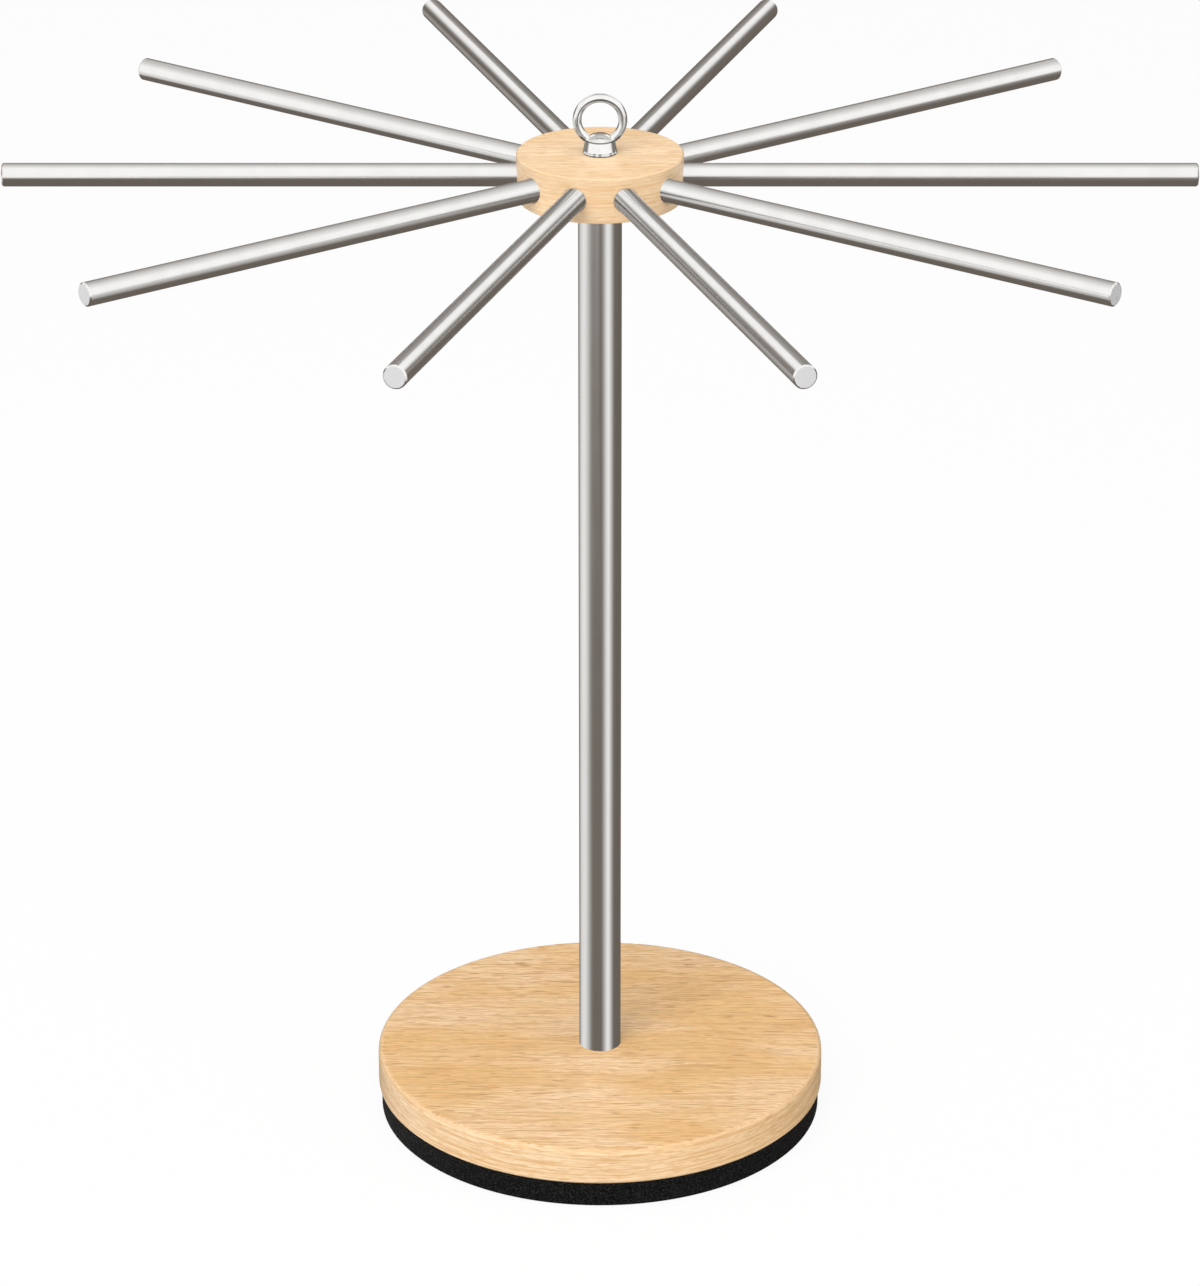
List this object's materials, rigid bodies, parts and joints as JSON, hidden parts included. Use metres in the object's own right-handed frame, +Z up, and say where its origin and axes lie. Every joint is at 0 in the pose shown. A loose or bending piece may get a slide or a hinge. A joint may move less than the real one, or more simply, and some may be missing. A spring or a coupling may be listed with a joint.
{
  "type": "pasta drying rack",
  "caption": "Pasta drying rack whose oak base and steel pole turn on a ball bearing foot, with round rods that fan out from an oak hub.",
  "frame": {"origin": "on the table under the non-slip ring, in line with the pole", "axes": "+Z up the pole, +X along rod_1, and the eye's ring lies in the XZ plane"},
  "size_m": [0.406, 0.3882, 0.385],
  "materials": {
    "oak": "clear satin lacquer over honey oak",
    "satin_rod": "satin ground stainless",
    "brushed_pole": "lengthwise brushed stainless",
    "turned_steel": "turned stainless",
    "zinc_steel": "bright zinc plate",
    "zinc_screws": "bright zinc plate",
    "bright_balls": "polished ball steel",
    "polished_nut": "polished stainless",
    "nylon": "natural nylon",
    "black_plastic": "black, fine moulded grain",
    "rubber": "black, matt"
  },
  "bodies": {
    "foot": {"nonslip_ring": "rubber", "foot_disc": "black_plastic", "outer_race": "zinc_steel", "outer_race_screws": "zinc_screws"},
    "turntable": {"inner_race": "zinc_steel", "inner_race_screws": "zinc_screws", "base_disc": "oak", "bolt_washer": "zinc_steel", "pole_bolt": "zinc_screws", "pole_bottom_plug": "turned_steel", "pole_tube": "brushed_pole", "pole_top_plug": "turned_steel", "hub_stud": "turned_steel", "hub": "oak"},
    "cage_and_balls": {"ball_cage": "nylon", "bearing_balls": "bright_balls"},
    "eye_washer": {"eye_washer": "polished_nut"},
    "eye_nut": {"eye_nut": "polished_nut"},
    "rod_1": {"rod_1": "satin_rod"},
    "rod_2": {"rod_2": "satin_rod"},
    "rod_3": {"rod_3": "satin_rod"},
    "rod_4": {"rod_4": "satin_rod"},
    "rod_5": {"rod_5": "satin_rod"},
    "rod_6": {"rod_6": "satin_rod"},
    "rod_7": {"rod_7": "satin_rod"},
    "rod_8": {"rod_8": "satin_rod"},
    "rod_9": {"rod_9": "satin_rod"},
    "rod_10": {"rod_10": "satin_rod"}
  },
  "joints": [
    {"name": "turntable_spin", "type": "hinge", "parent": "foot", "child": "turntable", "pos_m": [0, 0, 0], "axis": [0, 0, 1], "continuous": true},
    {"name": "ball_cage_spin", "type": "hinge", "parent": "foot", "child": "cage_and_balls", "pos_m": [0, 0, 0], "axis": [0, 0, 1], "continuous": true},
    {"name": "rod_1_pull", "type": "slide", "parent": "turntable", "child": "rod_1", "axis": [1, 0, 0], "range_m": [0, 0.012]},
    {"name": "rod_2_pull", "type": "slide", "parent": "turntable", "child": "rod_2", "axis": [0.809, 0.5878, 0], "range_m": [0, 0.012]},
    {"name": "rod_3_pull", "type": "slide", "parent": "turntable", "child": "rod_3", "axis": [0.309, 0.9511, 0], "range_m": [0, 0.012]},
    {"name": "rod_4_pull", "type": "slide", "parent": "turntable", "child": "rod_4", "axis": [-0.309, 0.9511, 0], "range_m": [0, 0.012]},
    {"name": "rod_5_pull", "type": "slide", "parent": "turntable", "child": "rod_5", "axis": [-0.809, 0.5878, 0], "range_m": [0, 0.012]},
    {"name": "rod_6_pull", "type": "slide", "parent": "turntable", "child": "rod_6", "axis": [-1, 0, 0], "range_m": [0, 0.012]},
    {"name": "rod_7_pull", "type": "slide", "parent": "turntable", "child": "rod_7", "axis": [-0.809, -0.5878, 0], "range_m": [0, 0.012]},
    {"name": "rod_8_pull", "type": "slide", "parent": "turntable", "child": "rod_8", "axis": [-0.309, -0.9511, 0], "range_m": [0, 0.012]},
    {"name": "rod_9_pull", "type": "slide", "parent": "turntable", "child": "rod_9", "axis": [0.309, -0.9511, 0], "range_m": [0, 0.012]},
    {"name": "rod_10_pull", "type": "slide", "parent": "turntable", "child": "rod_10", "axis": [0.809, -0.5878, 0], "range_m": [0, 0.012]},
    {"name": "eye_nut_climb", "type": "slide", "parent": "turntable", "child": "eye_washer", "axis": [0, 0, 1], "range_m": [0, 0.0048]},
    {"name": "eye_nut_unscrew", "type": "hinge", "parent": "eye_washer", "child": "eye_nut", "pos_m": [0, 0, 0.365], "axis": [0, 0, 1], "range_deg": [0, 2160]}
  ],
  "couplings": [
    {"joint": "ball_cage_spin", "follows": "turntable_spin", "ratio": 0.47813},
    {"joint": "eye_nut_climb", "follows": "eye_nut_unscrew", "m_per_rad": 0.00012732}
  ]
}
